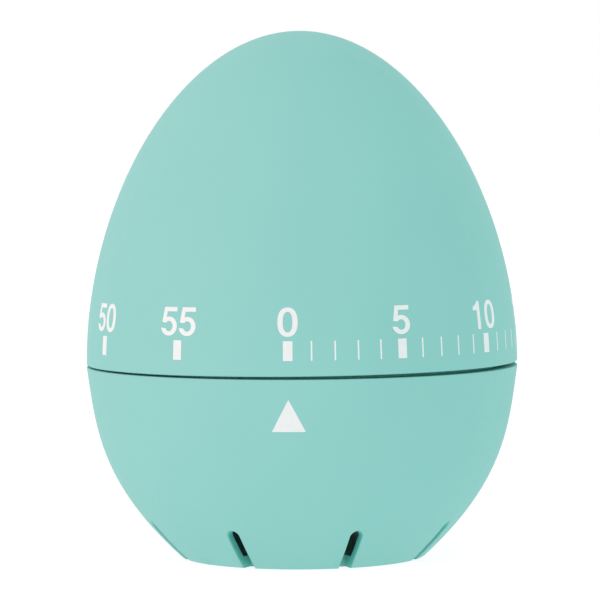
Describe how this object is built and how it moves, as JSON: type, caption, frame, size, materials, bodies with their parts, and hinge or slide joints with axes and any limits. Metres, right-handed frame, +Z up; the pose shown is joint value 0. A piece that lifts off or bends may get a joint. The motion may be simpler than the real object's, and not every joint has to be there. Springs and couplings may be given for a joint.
{
  "type": "kitchen timer",
  "caption": "Egg-shaped wind-up kitchen timer: a dome that turns as the dial on a fixed base with sound slots, with a clockwork movement and a bell inside.",
  "frame": {"origin": "centre of the face the timer rests on", "axes": "+Z up along the axis the dial turns on; -Y towards the pointer on the base"},
  "size_m": [0.06, 0.06, 0.073],
  "materials": {
    "mint_plastic": "matt soft-touch mint green",
    "white_nylon": "natural nylon, satin",
    "bell_steel": "bright nickel-plated steel",
    "brass": "stamped and turned brass, satin",
    "blued_steel": "blued spring steel",
    "steel": "zinc-plated steel, satin"
  },
  "bodies": {
    "case": {"base_shell": "mint_plastic", "bottom_plate": "steel", "top_plate": "steel", "bell": "bell_steel", "bell_screw": "steel", "mainspring": "blued_steel", "spring_post": "steel", "hairspring": "blued_steel", "hairspring_stud": "brass", "stop_pin": "steel", "lever_stud": "steel", "plate_screw_1": "steel", "plate_screw_2": "steel", "plate_screw_3": "steel", "pillar_1": "brass", "pillar_2": "brass", "pillar_3": "brass", "pillar_screw_1": "steel", "pillar_screw_2": "steel", "pillar_screw_3": "steel"},
    "dial": {"dome_shell": "mint_plastic", "dial_carrier": "white_nylon", "main_arbor": "steel", "main_wheel": "brass", "cam_disc": "steel", "stop_arm": "steel"},
    "second_arbor": {"second_pinion": "steel", "second_wheel": "brass"},
    "third_arbor": {"third_pinion": "steel", "third_wheel": "brass"},
    "escape_arbor": {"escape_pinion": "steel", "escape_wheel": "brass"},
    "pallets": {"pallet_arbor": "steel", "pallet_lever": "brass"},
    "balance": {"balance_staff": "steel", "balance_wheel": "brass"},
    "alarm_arbor": {"alarm_pinion": "steel", "alarm_wheel": "brass"},
    "star_arbor": {"star_pinion": "steel", "star_wheel": "steel"},
    "hammer": {"hammer_arbor": "steel", "hammer_verge": "steel", "hammer_arm": "steel", "hammer_head": "brass"},
    "hold_off": {"hold_off_lever": "steel"}
  },
  "joints": [
    {"name": "dial_turn", "type": "hinge", "parent": "case", "child": "dial", "pos_m": [0, 0, 0.02684], "axis": [0, 0, -1], "range_deg": [0, 345]},
    {"name": "second_arbor_spin", "type": "hinge", "parent": "case", "child": "second_arbor", "pos_m": [0.014, 0, 0.02], "axis": [0, 0, -1], "range_deg": [-2070, 0]},
    {"name": "third_arbor_spin", "type": "hinge", "parent": "case", "child": "third_arbor", "pos_m": [0.01297, 0.00937, 0.02], "axis": [0, 0, -1], "range_deg": [0, 12420]},
    {"name": "escape_arbor_spin", "type": "hinge", "parent": "case", "child": "escape_arbor", "pos_m": [0.00641, 0.01466, 0.02], "axis": [0, 0, -1], "range_deg": [-74520, 0]},
    {"name": "alarm_arbor_spin", "type": "hinge", "parent": "case", "child": "alarm_arbor", "pos_m": [-0.01316, -0.00479, 0.02], "axis": [0, 0, -1], "range_deg": [-2070, 0]},
    {"name": "star_arbor_spin", "type": "hinge", "parent": "case", "child": "star_arbor", "pos_m": [-0.00894, -0.01328, 0.02], "axis": [0, 0, -1], "range_deg": [0, 12420]},
    {"name": "pallet_rock", "type": "hinge", "parent": "case", "child": "pallets", "pos_m": [0.00117, 0.01696, 0.016], "axis": [0, 0, -1], "range_deg": [-4, 4]},
    {"name": "balance_swing", "type": "hinge", "parent": "case", "child": "balance", "pos_m": [-0.00441, 0.01538, 0.0179], "axis": [0, 0, -1], "range_deg": [-120, 120], "stiffness_Nm_per_rad": 0.000002},
    {"name": "hammer_swing", "type": "hinge", "parent": "case", "child": "hammer", "pos_m": [-0.00423, -0.01647, 0.009], "axis": [0, 0, -1], "range_deg": [-3.5, 3.5]},
    {"name": "hold_off_rock", "type": "hinge", "parent": "case", "child": "hold_off", "pos_m": [0.00579, -0.00689, 0.0217], "axis": [0, 0, -1], "range_deg": [0, 8]}
  ],
  "couplings": [
    {"joint": "second_arbor_spin", "follows": "dial_turn", "ratio": -6},
    {"joint": "third_arbor_spin", "follows": "dial_turn", "ratio": 36},
    {"joint": "escape_arbor_spin", "follows": "dial_turn", "ratio": -216},
    {"joint": "alarm_arbor_spin", "follows": "dial_turn", "ratio": -6},
    {"joint": "star_arbor_spin", "follows": "dial_turn", "ratio": 36}
  ]
}
